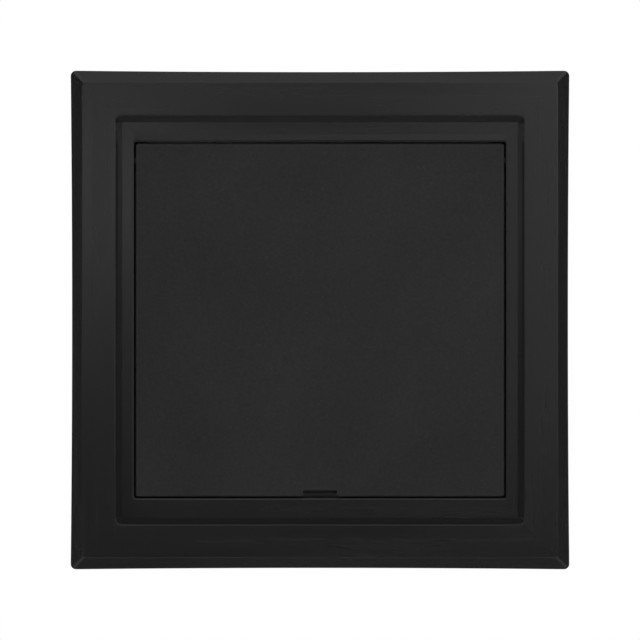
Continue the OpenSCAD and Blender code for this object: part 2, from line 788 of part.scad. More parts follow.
frame();
door();
hinge_pin(-1);  // hinge_pin_left
hinge_pin(1);  // hinge_pin_right
door_seal();
catch_case(-1);  // catch_case_left
catch_case(1);  // catch_case_right
catch_magnet(-1);  // catch_magnet_left
catch_magnet(1);  // catch_magnet_right
pole_plates(-1);  // pole_plates_left
pole_plates(1);  // pole_plates_right
catch_screws(-1);  // catch_screws_left
catch_screws(1);  // catch_screws_right
strike_plate(-1);  // strike_plate_left
strike_plate(1);  // strike_plate_right
strike_screw(-1);  // strike_screw_left
strike_screw(1);  // strike_screw_right
clamp_screw(-1, clamp_up);  // clamp_screw_upper_left
clamp_screw(1, clamp_up);  // clamp_screw_upper_right
clamp_screw(-1, clamp_low);  // clamp_screw_lower_left
clamp_screw(1, clamp_low);  // clamp_screw_lower_right
clamp_clip(-1, clamp_up);  // clamp_clip_upper_left
clamp_clip(1, clamp_up);  // clamp_clip_upper_right
clamp_clip(-1, clamp_low);  // clamp_clip_lower_left
clamp_clip(1, clamp_low);  // clamp_clip_lower_right
clamp_dog(-1, clamp_up);  // clamp_dog_upper_left
clamp_dog(1, clamp_up);  // clamp_dog_upper_right
clamp_dog(-1, clamp_low);  // clamp_dog_lower_left
clamp_dog(1, clamp_low);  // clamp_dog_lower_right
clamp_nut(-1, clamp_up);  // clamp_nut_upper_left
clamp_nut(1, clamp_up);  // clamp_nut_upper_right
clamp_nut(-1, clamp_low);  // clamp_nut_lower_left
clamp_nut(1, clamp_low);  // clamp_nut_lower_right
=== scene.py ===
"""Dresses the black plastic access panel and lights it on plain white, square on as it was photographed."""
import logging
import math
from dataclasses import dataclass
from enum import Enum
from typing import Any, Optional, Sequence

import bmesh
import bpy
from mathutils import Matrix, Vector


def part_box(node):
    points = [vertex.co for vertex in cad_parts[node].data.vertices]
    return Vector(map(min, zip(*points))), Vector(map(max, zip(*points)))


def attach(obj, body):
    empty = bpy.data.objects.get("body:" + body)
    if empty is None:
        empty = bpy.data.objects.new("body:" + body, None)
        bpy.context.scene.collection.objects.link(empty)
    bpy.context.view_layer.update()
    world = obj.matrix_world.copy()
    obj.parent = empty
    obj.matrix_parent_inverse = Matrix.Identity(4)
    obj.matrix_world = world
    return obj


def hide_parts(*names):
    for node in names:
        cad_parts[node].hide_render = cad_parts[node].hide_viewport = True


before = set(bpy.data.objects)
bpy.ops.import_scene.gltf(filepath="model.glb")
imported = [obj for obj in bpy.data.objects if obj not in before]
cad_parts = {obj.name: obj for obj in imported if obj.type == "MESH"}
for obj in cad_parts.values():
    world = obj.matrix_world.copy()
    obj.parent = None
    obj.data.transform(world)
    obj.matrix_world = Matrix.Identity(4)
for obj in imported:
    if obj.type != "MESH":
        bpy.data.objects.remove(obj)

LOG = logging.getLogger("access_panel")
MM = 0.001
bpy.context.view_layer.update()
ORIGIN = (0.0, 0.0, 0.0)
ALONG_Y = (0.0, 1.0, 0.0)
MERGE_GAP = 0.002 * MM
ARC_DEG = 15
QUARTER = 90 // ARC_DEG
WHITE = "#ffffff"
Colour = tuple[float, float, float, float]
Section = Sequence[tuple[float, float]]


def linear(hex_colour: str) -> Colour:
    """Turns an sRGB hex colour to the linear colour that a shader socket takes.

    Args:
        hex_colour: Six hex digits after a hash.

    Returns:
        Red, green and blue, with a full alpha.
    """
    channels = [int(hex_colour[i:i + 2], 16) / 255 for i in (1, 3, 5)]
    red, green, blue = [c / 12.92 if c <= 0.04045 else ((c + 0.055) / 1.055) ** 2.4 for c in channels]
    return red, green, blue, 1.0


def add_node(tree: bpy.types.NodeTree, kind: str, settings: Optional[dict[str, Any]] = None,
             inputs: Optional[dict[Any, Any]] = None) -> bpy.types.Node:
    """Adds a node with its settings, socket values and links.

    Args:
        tree: The node tree that gets the node.
        kind: The node's type name.
        settings: Values for the node's own attributes.
        inputs: For each input socket, a plain value or the output socket that feeds it.

    Returns:
        The new node.
    """
    node = tree.nodes.new(kind)
    for name, value in (settings or {}).items():
        setattr(node, name, value)
    for socket, value in (inputs or {}).items():
        if isinstance(value, bpy.types.NodeSocket):
            tree.links.new(value, node.inputs[socket])
        else:
            node.inputs[socket].default_value = value
    return node


def per_mm(size_mm: float) -> float:
    """Gives the texture scale, in object metres, whose features are about this many millimetres across."""
    return 1.0 / (size_mm * MM)


class Finish:
    """A surface finish that makes its Blender material once and hands it out again."""

    name: str
    slot: str

    def material(self) -> bpy.types.Material:
        """Gives the finish's material, made at its first use."""
        found = bpy.data.materials.get(self.name)
        return found if found else self.make()

    def start(self) -> tuple[bpy.types.Material, bpy.types.NodeTree, bpy.types.NodeSocket]:
        """Makes an empty node material.

        Returns:
            The material, its node tree and the socket of the object's own coordinates.
        """
        made = bpy.data.materials.new(self.name)
        made.use_nodes = True
        made.node_tree.nodes.clear()
        place = add_node(made.node_tree, "ShaderNodeTexCoord")
        return made, made.node_tree, place.outputs["Object"]

    def make(self) -> bpy.types.Material:
        """Makes the material's nodes."""
        raise NotImplementedError


class Flow(Enum):
    """The way that the melt ran when a moulding was filled."""

    STRAIGHT = "from one end to the other"
    ROUND = "along each side of a square border"


@dataclass(frozen=True)
class MouldedPlastic(Finish):
    """Black thermoplastic from an injection mould, whose tool was polished, blasted or spark-eroded."""

    name: str
    slot: str
    dark: str
    light: str
    speck: str
    roughness: float
    roughness_spread: float
    grain_mm: float
    grain_depth_mm: float
    flow_mm: float
    flow: Flow = Flow.STRAIGHT
    flow_stretch: float = 0.25
    flow_share: float = 1.0
    ior: float = 1.53
    cloud_spread: float = 0.3
    flow_range: tuple[float, float] = (0.3, 0.7)
    glint_and_nib_reach: tuple[float, float] = (0.14, 0.04)

    def flow_place(self, tree: bpy.types.NodeTree, place: bpy.types.NodeSocket) -> bpy.types.NodeSocket:
        """Draws the object's coordinates out along the way that the melt ran.

        Args:
            tree: The material's node tree.
            place: The object's own coordinates.

        Returns:
            The coordinates for the flow marks.
        """
        if self.flow is Flow.STRAIGHT:
            drawn = add_node(tree, "ShaderNodeMapping", inputs={
                "Vector": place, "Scale": (1.0, 1.0, self.flow_stretch)})
            return drawn.outputs[0]
        at = add_node(tree, "ShaderNodeSeparateXYZ", inputs={0: place})
        far_x = add_node(tree, "ShaderNodeMath", {"operation": "ABSOLUTE"}, {0: at.outputs["X"]})
        far_z = add_node(tree, "ShaderNodeMath", {"operation": "ABSOLUTE"}, {0: at.outputs["Z"]})
        upright = add_node(tree, "ShaderNodeMath", {"operation": "GREATER_THAN"}, {
            0: far_x.outputs[0], 1: far_z.outputs[0]})
        along = add_node(tree, "ShaderNodeMix", {"data_type": "FLOAT"}, {
            0: upright.outputs[0], 2: at.outputs["X"], 3: at.outputs["Z"]})
        across = add_node(tree, "ShaderNodeMix", {"data_type": "FLOAT"}, {
            0: upright.outputs[0], 2: at.outputs["Z"], 3: at.outputs["X"]})
        drawn_out = add_node(tree, "ShaderNodeMath", {"operation": "MULTIPLY"}, {
            0: along.outputs[0], 1: self.flow_stretch})
        drawn = add_node(tree, "ShaderNodeCombineXYZ", inputs={
            "X": across.outputs[0], "Y": upright.outputs[0], "Z": drawn_out.outputs[0]})
        return drawn.outputs[0]

    def make(self) -> bpy.types.Material:
        """Makes a near black with the tool's grain, the flow marks of the fill and a few pale specks.

        Returns:
            The material.
        """
        # The skin is never one black: the melt leaves long faint clouds from the gate, the tool's grain
        # breaks the gloss into fine light and dark, and pale specks in the colour are painted glints of the
        # grain as well as dust nibs. The real grain is about 0.1 mm and wouldn't show, so it is drawn as
        # coarse as a pixel of the view.
        made, tree, place = self.start()
        flow = add_node(tree, "ShaderNodeTexNoise", inputs={
            "Vector": self.flow_place(tree, place), "Scale": per_mm(self.flow_mm),
            "Detail": 3.0, "Roughness": 0.55})
        grain = add_node(tree, "ShaderNodeTexNoise", inputs={
            "Vector": place, "Scale": per_mm(2 * self.grain_mm), "Detail": 3.0, "Roughness": 0.75})
        blend = add_node(tree, "ShaderNodeMath", {"operation": "MULTIPLY_ADD"}, {
            0: flow.outputs["Fac"], 1: self.flow_share, 2: grain.outputs["Fac"]})
        middle = 0.5 + 0.5 * self.flow_share
        shade = add_node(tree, "ShaderNodeMapRange", inputs={
            "Value": blend.outputs[0], "From Min": middle - self.cloud_spread,
            "From Max": middle + self.cloud_spread})
        skin = add_node(tree, "ShaderNodeMix", {"data_type": "RGBA"}, {
            0: shade.outputs[0], 6: linear(self.dark), 7: linear(self.light)})
        # Pale specks mixed into the colour: painted glints of the grain, and dust nibs.
        glint_and_nib_cells = add_node(tree, "ShaderNodeTexVoronoi", inputs={
            "Vector": place, "Scale": per_mm(4 * self.grain_mm)})
        near = add_node(tree, "ShaderNodeMapRange", inputs={
            "Value": glint_and_nib_cells.outputs["Distance"], "From Min": self.glint_and_nib_reach[0],
            "From Max": self.glint_and_nib_reach[1]})
        specks = add_node(tree, "ShaderNodeMath", {"operation": "MULTIPLY"}, {
            0: near.outputs[0], 1: glint_and_nib_cells.outputs["Color"]})
        colour = add_node(tree, "ShaderNodeMix", {"data_type": "RGBA"}, {
            0: specks.outputs[0], 6: skin.outputs[2], 7: linear(self.speck)})
        rough = add_node(tree, "ShaderNodeMapRange", inputs={
            "Value": flow.outputs["Fac"], "From Min": self.flow_range[0], "From Max": self.flow_range[1],
            "To Min": self.roughness - self.roughness_spread,
            "To Max": self.roughness + self.roughness_spread})
        bump = add_node(tree, "ShaderNodeBump", inputs={
            "Strength": 1.0, "Distance": self.grain_depth_mm * MM, "Height": grain.outputs["Fac"]})
        shader = add_node(tree, "ShaderNodeBsdfPrincipled", inputs={
            "Base Color": colour.outputs[2], "Roughness": rough.outputs[0], "IOR": self.ior,
            "Normal": bump.outputs[0]})
        add_node(tree, "ShaderNodeOutputMaterial", inputs={"Surface": shader.outputs[0]})
        return made


@dataclass(frozen=True)
class ZincPlate(Finish):
    """Drawn and pressed steel with a bright electroplated zinc coat."""

    name: str = "zinc_plated_steel"
    slot: str = "zinc_steel"
    dark: str = "#a7a9ad"
    light: str = "#c8cacd"
    roughness: float = 0.36
    roughness_spread: tuple[float, float] = (0.06, 0.1)
    spangle_mm: float = 0.5

    def make(self) -> bpy.types.Material:
        """Makes a metal whose colour and gloss change from crystal to crystal.

        Returns:
            The material.
        """
        # The coat gives a cool grey metal with a soft shine, cloudy by a millimetre or two where it is
        # thicker. Its fine crystals scatter part of the light, so it stays pale grey in dim surroundings too.
        made, tree, place = self.start()
        spangle = add_node(tree, "ShaderNodeTexVoronoi", inputs={
            "Vector": place, "Scale": per_mm(self.spangle_mm)})
        haze = add_node(tree, "ShaderNodeTexNoise", inputs={
            "Vector": place, "Scale": per_mm(4 * self.spangle_mm), "Detail": 3.0})
        colour = add_node(tree, "ShaderNodeMix", {"data_type": "RGBA"}, {
            0: haze.outputs["Fac"], 6: linear(self.dark), 7: linear(self.light)})
        rough = add_node(tree, "ShaderNodeMapRange", inputs={
            "Value": spangle.outputs["Color"], "To Min": self.roughness - self.roughness_spread[0],
            "To Max": self.roughness + self.roughness_spread[1]})
        bump = add_node(tree, "ShaderNodeBump", inputs={
            "Strength": 0.4, "Distance": 0.004 * MM, "Height": haze.outputs["Fac"]})
        shader = add_node(tree, "ShaderNodeBsdfPrincipled", inputs={
            "Base Color": colour.outputs[2], "Metallic": 0.8, "Roughness": rough.outputs[0],
            "Normal": bump.outputs[0]})
        add_node(tree, "ShaderNodeOutputMaterial", inputs={"Surface": shader.outputs[0]})
        return made


@dataclass(frozen=True)
class SinteredFerrite(Finish):
    """Ferrite powder, pressed to a block and sintered."""

    name: str = "sintered_ferrite"
    slot: str = "ferrite"
    dark: str = "#2b2b2d"
    light: str = "#434346"
    grit_mm: float = 0.25

    def make(self) -> bpy.types.Material:
        """Makes a dull ceramic with grit in its colour and its surface.

        Returns:
            The material.
        """
        # Sintering leaves a charcoal ceramic, dull as slate, whose fine grit sparkles a little.
        made, tree, place = self.start()
        grit = add_node(tree, "ShaderNodeTexNoise", inputs={
            "Vector": place, "Scale": per_mm(self.grit_mm), "Detail": 4.0, "Roughness": 0.7})
        colour = add_node(tree, "ShaderNodeMix", {"data_type": "RGBA"}, {
            0: grit.outputs["Fac"], 6: linear(self.dark), 7: linear(self.light)})
        bump = add_node(tree, "ShaderNodeBump", inputs={
            "Strength": 0.6, "Distance": 0.03 * MM, "Height": grit.outputs["Fac"]})
        shader = add_node(tree, "ShaderNodeBsdfPrincipled", inputs={
            "Base Color": colour.outputs[2], "Roughness": 0.62, "IOR": 1.9, "Normal": bump.outputs[0]})
        add_node(tree, "ShaderNodeOutputMaterial", inputs={"Surface": shader.outputs[0]})
        return made


@dataclass(frozen=True)
class ClosedCellFoam(Finish):
    """Black closed-cell foam, slit to a strip, with its skin on the front."""

    name: str = "closed_cell_foam"
    slot: str = "seal_foam"
    dark: str = "#1f1f1f"
    light: str = "#404040"
    cell_mm: float = 0.4

    def make(self) -> bpy.types.Material:
        """Makes a dull skin dented by its cells, with painted shade in each dent.

        Returns:
            The material.
        """
        # The skin is soft and has no shine, and its small round cells are dents in the bump, darkened
        # toward their middles by painted shade, with paler walls.
        made, tree, place = self.start()
        cells = add_node(tree, "ShaderNodeTexVoronoi", {"feature": "SMOOTH_F1"}, {
            "Vector": place, "Scale": per_mm(self.cell_mm), "Smoothness": 0.4})
        # Painted shade: the colour is darker at the middle of each cell's dent.
        colour = add_node(tree, "ShaderNodeMix", {"data_type": "RGBA"}, {
            0: cells.outputs["Distance"], 6: linear(self.dark), 7: linear(self.light)})
        bump = add_node(tree, "ShaderNodeBump", inputs={
            "Strength": 0.8, "Distance": 0.1 * MM, "Height": cells.outputs["Distance"]})
        shader = add_node(tree, "ShaderNodeBsdfPrincipled", inputs={
            "Base Color": colour.outputs[2], "Roughness": 0.92, "IOR": 1.45, "Normal": bump.outputs[0]})
        add_node(tree, "ShaderNodeOutputMaterial", inputs={"Surface": shader.outputs[0]})
        return made


FRAME_ABS = MouldedPlastic(
    "satin_moulded_abs", "frame_abs", "#181818", "#202020", "#2e2e2e", roughness=0.26, roughness_spread=0.04,
    grain_mm=0.6, grain_depth_mm=0.004, flow_mm=8.0, flow=Flow.ROUND, flow_stretch=0.06, flow_share=0.7)
DOOR_ABS = MouldedPlastic(
    "grained_moulded_abs", "door_abs", "#0c0c0c", "#252525", "#3a3a3a", roughness=0.58, roughness_spread=0.03,
    grain_mm=0.7, grain_depth_mm=0.02, flow_mm=50.0, flow_stretch=1.0, flow_share=0.45)
NYLON = MouldedPlastic(
    "moulded_nylon", "black_nylon", "#131313", "#1f1f1f", "#2a2a2a", roughness=0.5, roughness_spread=0.06,
    grain_mm=0.5, grain_depth_mm=0.008, flow_mm=8.0)
ZINC = ZincPlate()
FERRITE = SinteredFerrite()
FOAM = ClosedCellFoam()


def dress(node: str, finish: Finish) -> None:
    """Puts a finish on a CAD node.

    Args:
        node: The CAD node's name.
        finish: Its finish.
    """
    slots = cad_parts[node].data.materials
    slots.clear()
    slots.append(finish.material())
    LOG.info("%s wears %s", node, finish.name)


def add_piece(name: str, shape: bmesh.types.BMesh, finish: Finish, body: str,
              stands_for: Sequence[str] = ()) -> bpy.types.Object:
    """Makes a piece from a shape, which it frees, and hangs it on its body.

    Args:
        name: The piece's name.
        shape: Its shape, in its place at rest.
        finish: Its finish.
        body: The body that it moves with.
        stands_for: The CAD nodes that it is shown for.

    Returns:
        The piece's object.
    """
    mesh = bpy.data.meshes.new(name)
    shape.to_mesh(mesh)
    shape.free()
    mesh.materials.append(finish.material())
    piece = bpy.data.objects.new(name, mesh)
    bpy.context.scene.collection.objects.link(piece)
    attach(piece, body)
    if stands_for:
        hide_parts(*stands_for)
    LOG.info("%s made with %d faces in %s", name, len(mesh.polygons), finish.name)
    return piece


def close_up(shape: bmesh.types.BMesh) -> None:
    """Merges a shape's doubled points and turns its faces outwards."""
    bmesh.ops.remove_doubles(shape, verts=shape.verts, dist=MERGE_GAP)
    bmesh.ops.recalc_face_normals(shape, faces=shape.faces)


def draw(shape: bmesh.types.BMesh, section: Section) -> list[Any]:
    """Draws a section as a line of edges, with its radius along X and its second value along Y.

    Args:
        shape: The shape that gets the line.
        section: The section's points.

    Returns:
        The new points and edges.
    """
    points = [shape.verts.new((radius, along, 0.0)) for radius, along in section]
    return points + [shape.edges.new(pair) for pair in zip(points, points[1:])]


def turned(section: Section, steps: int = 40) -> bmesh.types.BMesh:
    """Turns a section about the Y axis.

    Args:
        section: Radius and place along the axis of each point, in metres.
        steps: Steps round the axis.

    Returns:
        The closed shape.
    """
    shape = bmesh.new()
    bmesh.ops.spin(shape, geom=draw(shape, section), cent=ORIGIN, axis=ALONG_Y,
                   angle=math.tau, steps=steps, use_merge=True)
    close_up(shape)
    return shape


def joined(shapes: Sequence[bmesh.types.BMesh]) -> bmesh.types.BMesh:
    """Puts several shapes in one, and frees them.

    Args:
        shapes: The shapes.

    Returns:
        The shape that holds them all.
    """
    whole = bmesh.new()
    for shape in shapes:
        mesh = bpy.data.meshes.new("work")
        shape.to_mesh(mesh)
        shape.free()
        whole.from_mesh(mesh)
        bpy.data.meshes.remove(mesh)
    return whole


class Cut(Enum):
    """What a cutting tool leaves of the work."""

    AWAY = "DIFFERENCE"
    COMMON = "INTERSECT"


def cut(work: bmesh.types.BMesh, tool: bmesh.types.BMesh, how: Cut) -> bmesh.types.BMesh:
    """Cuts one closed shape with another, and frees both.

    Args:
        work: The shape that is cut.
        tool: The shape that cuts it.
        how: What is left.

    Returns:
        The shape that is left.
    """
    solids = []
    for shape in (work, tool):
        mesh = bpy.data.meshes.new("work")
        shape.to_mesh(mesh)
        shape.free()
        solids.append(bpy.data.objects.new("work", mesh))
        bpy.context.scene.collection.objects.link(solids[-1])
    modifier = solids[0].modifiers.new("cut", "BOOLEAN")
    modifier.operation, modifier.solver, modifier.object = how.value, "EXACT", solids[1]
    left = bmesh.new()
    left.from_object(solids[0], bpy.context.evaluated_depsgraph_get())
    for mesh in [solid.data for solid in solids]:
        bpy.data.meshes.remove(mesh)
    return left


def ejector_marks(places: Sequence[tuple[float, float]], face_y: float, radius: float) -> bmesh.types.BMesh:
    """Makes the thin raised rings that a mould's ejector pins leave on a face that looks back.

    Args:
        places: Middle of each ring, as x and z.
        face_y: Place of the face along Y.
        radius: Radius of the rings.

    Returns:
        The rings in one shape.
    """
    half, sunk, low, high = 0.16 * MM, -0.05 * MM, 0.05 * MM, 0.09 * MM
    ring_steps = 36
    section = [(radius - half, sunk), (radius - half, low), (radius, high), (radius + half, low),
               (radius + half, sunk), (radius - half, sunk)]
    rings = []
    for x, z in places:
        rings.append(turned(section, ring_steps))
        bmesh.ops.translate(rings[-1], vec=(x, face_y, z), verts=rings[-1].verts)
    return joined(rings)


class Side(Enum):
    """The panel's two sides, as the viewer sees them, with the sign of x."""

    LEFT = -1
    RIGHT = 1

    @property
    def word(self) -> str:
        """The side's name as the CAD nodes use it."""
        return self.name.lower()


class Level(Enum):
    """The two heights of the clamps."""

    UPPER = "upper"
    LOWER = "lower"


@dataclass
class FrameMoulding:
    """The raised picture frame, with its recess, collar and ledge in one moulding."""

    node: str = "frame"
    ledge_back: float = 8.0 * MM
    ledge_x: float = 86.0 * MM
    ledge_z: float = -82.2 * MM
    side_marks: tuple[float, ...] = (30.0 * MM, 0.0, -58.0 * MM)
    low_marks: tuple[float, ...] = (-80.0 * MM, -16.0 * MM, 16.0 * MM, 80.0 * MM)
    mark_r: float = 1.7 * MM

    def build(self) -> None:
        """Dresses the moulding and adds the ejector marks behind its ledge."""
        dress(self.node, FRAME_ABS)
        places = [(side.value * self.ledge_x, z) for side in Side for z in self.side_marks]
        places += [(x, self.ledge_z) for x in self.low_marks]
        marks = ejector_marks(places, self.ledge_back, self.mark_r)
        add_piece("ledge_ejector_marks", marks, FRAME_ABS, "frame")


@dataclass
class DoorLeaf:
    """The hinged door with its finger notch."""

    node: str = "door"
    skin_back: float = 1.4 * MM
    marks_mm: tuple[tuple[float, float], ...] = ((66.0, 62.0), (22.0, 62.0), (66.0, 20.0), (22.0, 20.0))
    mark_r: float = 3.0 * MM

    def build(self) -> None:
        """Dresses the door and adds the ejector marks between the ribs behind its face."""
        dress(self.node, DOOR_ABS)
        places = [(x * MM * side, z * MM * up)
                  for x, z in self.marks_mm for side in (-1, 1) for up in (-1, 1)]
        rings = ejector_marks(places, self.skin_back, self.mark_r)
        add_piece("door_ejector_marks", rings, DOOR_ABS, "door")


@dataclass
class DoorSeal:
    """The foam strip on the ledge that the door closes on, with its inner edge pressed round."""

    node: str = "door_seal"
    width: float = 1.9 * MM
    corner_r: float = 1.0 * MM
    edge_r: float = 0.35 * MM
    near: float = 0.01 * MM

    def build(self) -> None:
        """Makes the strip on three sides of the opening."""
        low, high = (Vector(corner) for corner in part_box(self.node))
        inner_low, inner_high = low.x + self.width, high.x - self.width
        outline = [(low.x, high.z), (low.x, low.z), (high.x, low.z), (high.x, high.z), (inner_high, high.z),
                   (inner_high, low.z + self.width), (inner_low, low.z + self.width), (inner_low, high.z)]
        depth = high.y - low.y
        shape = bmesh.new()
        face = shape.faces.new([shape.verts.new((x, low.y, z)) for x, z in outline])
        grown = bmesh.ops.extrude_face_region(shape, geom=[face])["geom"]
        bmesh.ops.translate(shape, vec=(0.0, depth, 0.0),
                            verts=[part for part in grown if isinstance(part, bmesh.types.BMVert)])
        close_up(shape)
        corners = [edge for edge in shape.edges
                   if all(abs(v.co.z - low.z) < self.near for v in edge.verts)
                   and edge.calc_length() < depth + self.near]
        bmesh.ops.bevel(shape, geom=corners, offset=self.corner_r, offset_type="OFFSET", segments=5,
                        profile=0.5, affect="EDGES", material=-1)
        inner = [edge for edge in shape.edges
                 if all(abs(v.co.y - low.y) < self.near and abs(v.co.x) < inner_high + self.near
                        and v.co.z > low.z + self.width - self.near for v in edge.verts)]
        bmesh.ops.bevel(shape, geom=inner, offset=self.edge_r, offset_type="OFFSET", segments=4,
                        profile=0.5, affect="EDGES", material=-1)
        add_piece("foam_strip", shape, FOAM, "frame", [self.node])


@dataclass
class HingePin:
    """A nylon pin at one end of the hinge axis, with a low round head."""

    side: Side
    radius: float = 1.5 * MM
    head_r: float = 2.1 * MM
    head_t: float = 1.2 * MM
    chamfer: float = 0.3 * MM

    def build(self) -> None:
        """Turns the pin from its tip in the door to its head in the frame."""
        node = f"hinge_pin_{self.side.word}"
        low, high = (Vector(corner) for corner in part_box(node))
        tip, end = sorted((abs(low.x), abs(high.x)))
        head, edge = end - self.head_t, end - 0.5 * self.head_t
        crown = [(self.head_r * math.cos(a), edge + (end - edge) * math.sin(a))
                 for a in (math.radians(ARC_DEG * i) for i in range(QUARTER))]
        shape = turned([(0.0, tip), (self.radius - self.chamfer, tip), (self.radius, tip + self.chamfer),
                        (self.radius, head), (self.head_r, head), *crown, (0.0, end)])
        bmesh.ops.rotate(shape, cent=ORIGIN, verts=shape.verts,
                         matrix=Matrix.Rotation(math.radians(-90 * self.side.value), 3, "Z"))
        bmesh.ops.translate(shape, vec=(0.0, (low.y + high.y) / 2, (low.z + high.z) / 2), verts=shape.verts)
        add_piece(f"round_head_pin_{self.side.word}", shape, NYLON, "frame", [node])


@dataclass
class MagnetCatch:
    """A magnetic catch on the ledge, with its strike plate on the door."""

    side: Side

    def build(self) -> None:
        """Dresses the case, the magnet with its pole plates, the strike plate and the screws."""
        for piece, finish in (("catch_case", NYLON), ("catch_magnet", FERRITE), ("pole_plates", ZINC),
                              ("catch_screws", ZINC), ("strike_plate", ZINC), ("strike_screw", ZINC)):
            dress(f"{piece}_{self.side.word}", finish)


@dataclass
class ClampHardware:
    """The zinc-plated screw, push-on clip and nut that every clamp has."""

    thread_r: float = 2.0 * MM
    root_r: float = 1.6 * MM
    pitch: float = 0.7 * MM
    thread_steps: int = 20
    thread_form: tuple[float, float, float] = (0.34, 0.48, 0.82)
    lead_turns: float = 1.5
    spare_turns: int = 2
    tip_l: float = 0.8 * MM
    tip_taper: float = 0.35
    head_r: float = 3.75 * MM
    head_h: float = 2.6 * MM
    crown_r: float = 1.1 * MM
    head_edge: float = 0.2 * MM
    recess: tuple[float, float, float] = (4.4 * MM, 0.95 * MM, 1.5 * MM)
    recess_taper: float = 0.62
    clip_t: float = 0.45 * MM
    clip_grip_gap: float = 0.03 * MM
    clip_root_r: float = 3.1 * MM
    clip_rim_r: float = 4.45 * MM
    clip_tongues: int = 6
    tongue_steps: int = 10
    slot_steps: int = 2
    slot_end: float = 0.2 * MM
    nut_w: float = 7.0 * MM
    nut_washer_inset: float = 0.15 * MM
    nut_bore_gap: float = 0.05 * MM
    nut_chamfer_deg: float = 30.0
    nut_sink: float = 0.35 * MM
    nut_steps: int = 48

    def build(self) -> dict[str, bmesh.types.BMesh]:
        """Makes the three shapes, as long along Y as the CAD's.

        Returns:
            Each shape by its part's name, with its front at the origin.
        """
        makers = {"screw": self.make_screw, "clip": self.make_clip, "nut": self.make_nut}
        boxes = {part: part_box(f"clamp_{part}_upper_left") for part in makers}
        return {part: make(boxes[part][1][1] - boxes[part][0][1]) for part, make in makers.items()}

    def make_screw(self, length: float) -> bmesh.types.BMesh:
        """Makes the pan-head screw with its cross recess and its thread.

        Args:
            length: Length over the head.

        Returns:
            The screw from its head's face at the origin along Y.
        """
        crown = [(self.head_r - self.crown_r * (1 - math.cos(a)), self.crown_r * (1 - math.sin(a)))
                 for a in (math.radians(ARC_DEG * i) for i in range(QUARTER + 1))]
        shoulder = self.head_h - self.head_edge
        head = turned([(0.0, self.head_h), (self.head_r - self.head_edge, self.head_h),
                       (self.head_r, shoulder), *crown, (0.0, 0.0)])
        long, wide, deep = self.recess
        for across in (Vector((long, 2 * deep, wide)), Vector((wide, 2 * deep, long))):
            bar = bmesh.new()
            bmesh.ops.create_cube(bar, size=1.0)
            bmesh.ops.scale(bar, vec=across, verts=bar.verts)
            bmesh.ops.scale(bar, vec=(self.recess_taper, 1.0, self.recess_taper),
                            verts=[v for v in bar.verts if v.co.y > 0])
            head = cut(head, bar, Cut.AWAY)
        return joined([head, self.make_thread(shoulder, length)])

    def make_thread(self, start: float, end: float) -> bmesh.types.BMesh:
        """Winds one pitch of the thread along the shank, cuts its ends square and tapers its tip.

        Args:
            start: Where the thread starts along Y.
            end: Where it ends.

        Returns:
            The closed threaded shank.
        """
        shape = bmesh.new()
        turns = math.ceil((end - start) / self.pitch) + self.spare_turns
        crest_start, crest_end, flank_end = self.thread_form
        section = [(self.root_r, 0.0), (self.thread_r, crest_start), (self.thread_r, crest_end),
                   (self.root_r, flank_end), (self.root_r, 1.0)]
        line = draw(shape, [(r, start + (at - self.lead_turns) * self.pitch) for r, at in section])
        bmesh.ops.spin(shape, geom=line, cent=ORIGIN, axis=ALONG_Y,
                       dvec=(0.0, self.pitch / self.thread_steps, 0.0),
                       angle=math.tau * turns, steps=self.thread_steps * turns)
        close_up(shape)
        for at, out in ((start, -1.0), (end, 1.0)):
            bmesh.ops.bisect_plane(shape, geom=shape.verts[:] + shape.edges[:] + shape.faces[:],
                                   plane_co=(0.0, at, 0.0), plane_no=(0.0, out, 0.0), clear_outer=True)
        bmesh.ops.holes_fill(shape, edges=shape.edges, sides=0)
        for point in shape.verts:
            near = max(0.0, 1 - (end - point.co.y) / self.tip_l)
            share = 1 - self.tip_taper * near
            point.co.x, point.co.z = point.co.x * share, point.co.z * share
        close_up(shape)
        return shape

    def make_clip(self, depth: float) -> bmesh.types.BMesh:
        """Makes the push-on clip: a ring with tongues that bend back and grip the thread.

        Args:
            depth: Depth of the clip over its tongues.

        Returns:
            The clip with its front at the origin.
        """
        grip_r = self.thread_r + self.clip_grip_gap
        steps = self.tongue_steps * self.clip_tongues
        section = [(grip_r, depth - self.clip_t), (self.clip_root_r, 0.0), (self.clip_rim_r, 0.0)]
        shape = turned(section, steps)
        slots = []
        for face in shape.faces:
            middle = face.calc_center_median()
            step = math.atan2(middle.z, middle.x) / math.tau * steps % self.tongue_steps
            if middle.xz.length < self.clip_root_r - self.slot_end and step < self.slot_steps:
                slots.append(face)
        bmesh.ops.delete(shape, geom=slots, context="FACES")
        bmesh.ops.recalc_face_normals(shape, faces=shape.faces)
        bmesh.ops.solidify(shape, geom=shape.faces[:], thickness=self.clip_t)
        close_up(shape)
        lowest = min(v.co.y for v in shape.verts)
        bmesh.ops.translate(shape, vec=(0.0, -lowest, 0.0), verts=shape.verts)
        return shape

